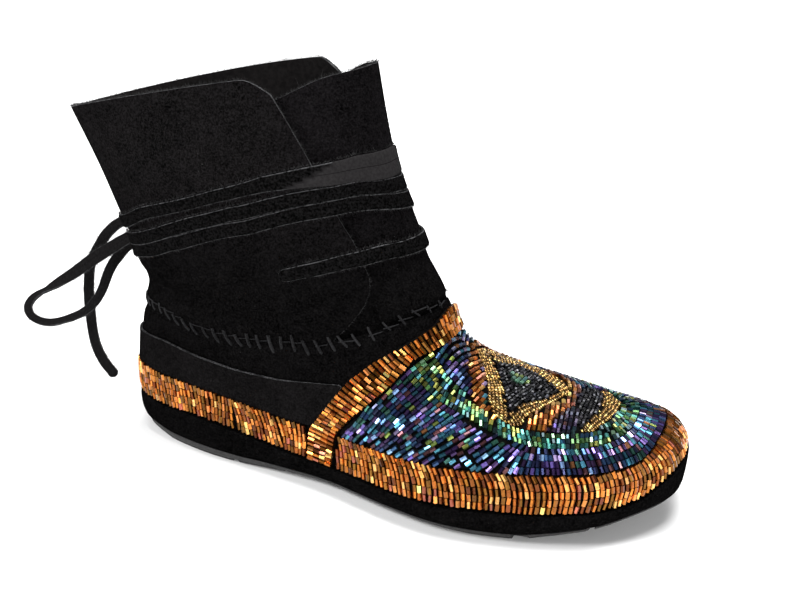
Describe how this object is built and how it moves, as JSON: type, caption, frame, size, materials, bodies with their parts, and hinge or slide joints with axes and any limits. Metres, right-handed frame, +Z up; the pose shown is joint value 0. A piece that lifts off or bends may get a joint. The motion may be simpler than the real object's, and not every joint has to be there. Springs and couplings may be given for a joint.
{
  "type": "beaded ankle boot",
  "caption": "Right moccasin-style suede ankle boot with a beaded rand and vamp, a wrap-round thong tied behind, and a rubber sole.",
  "frame": {"origin": "middle of the boot's footprint box on the ground plane, the bow left out", "axes": "+X from heel to toe, +Z up, the lateral (outer) side is -Y and the medial side +Y"},
  "size_m": [0.3411, 0.1177, 0.1804],
  "materials": {
    "outsole_rubber": "matte black moulded rubber",
    "midsole_suede": "black suede wrapped over the midsole's edge",
    "insole_sock": "dark brushed sock lining",
    "upper_suede": "black suede, napped",
    "panel_suede": "black suede, napped",
    "foxing_suede": "black suede, napped",
    "rand_beads": "copper-lined glossy bugle beads",
    "throat_beads": "copper-lined glossy bugle beads",
    "vamp_beads": "dark iridescent glossy bugle beads",
    "tie_thong": "black suede thong with pale cut edges"
  },
  "bodies": {
    "root": {"outsole": "outsole_rubber", "wrapped_midsole": "midsole_suede", "insole": "insole_sock", "upper": "upper_suede", "front_panel": "panel_suede", "heel_foxing": "foxing_suede", "rear_bead_rand": "rand_beads", "front_bead_rand": "rand_beads", "throat_bead_band": "throat_beads", "vamp_beadwork": "vamp_beads", "wrap_tie": "tie_thong", "bow_knot": "tie_thong", "bow_end_near": "tie_thong", "bow_loop_near": "tie_thong", "bow_loop_far": "tie_thong", "bow_end_far": "tie_thong"}
  },
  "joints": []
}
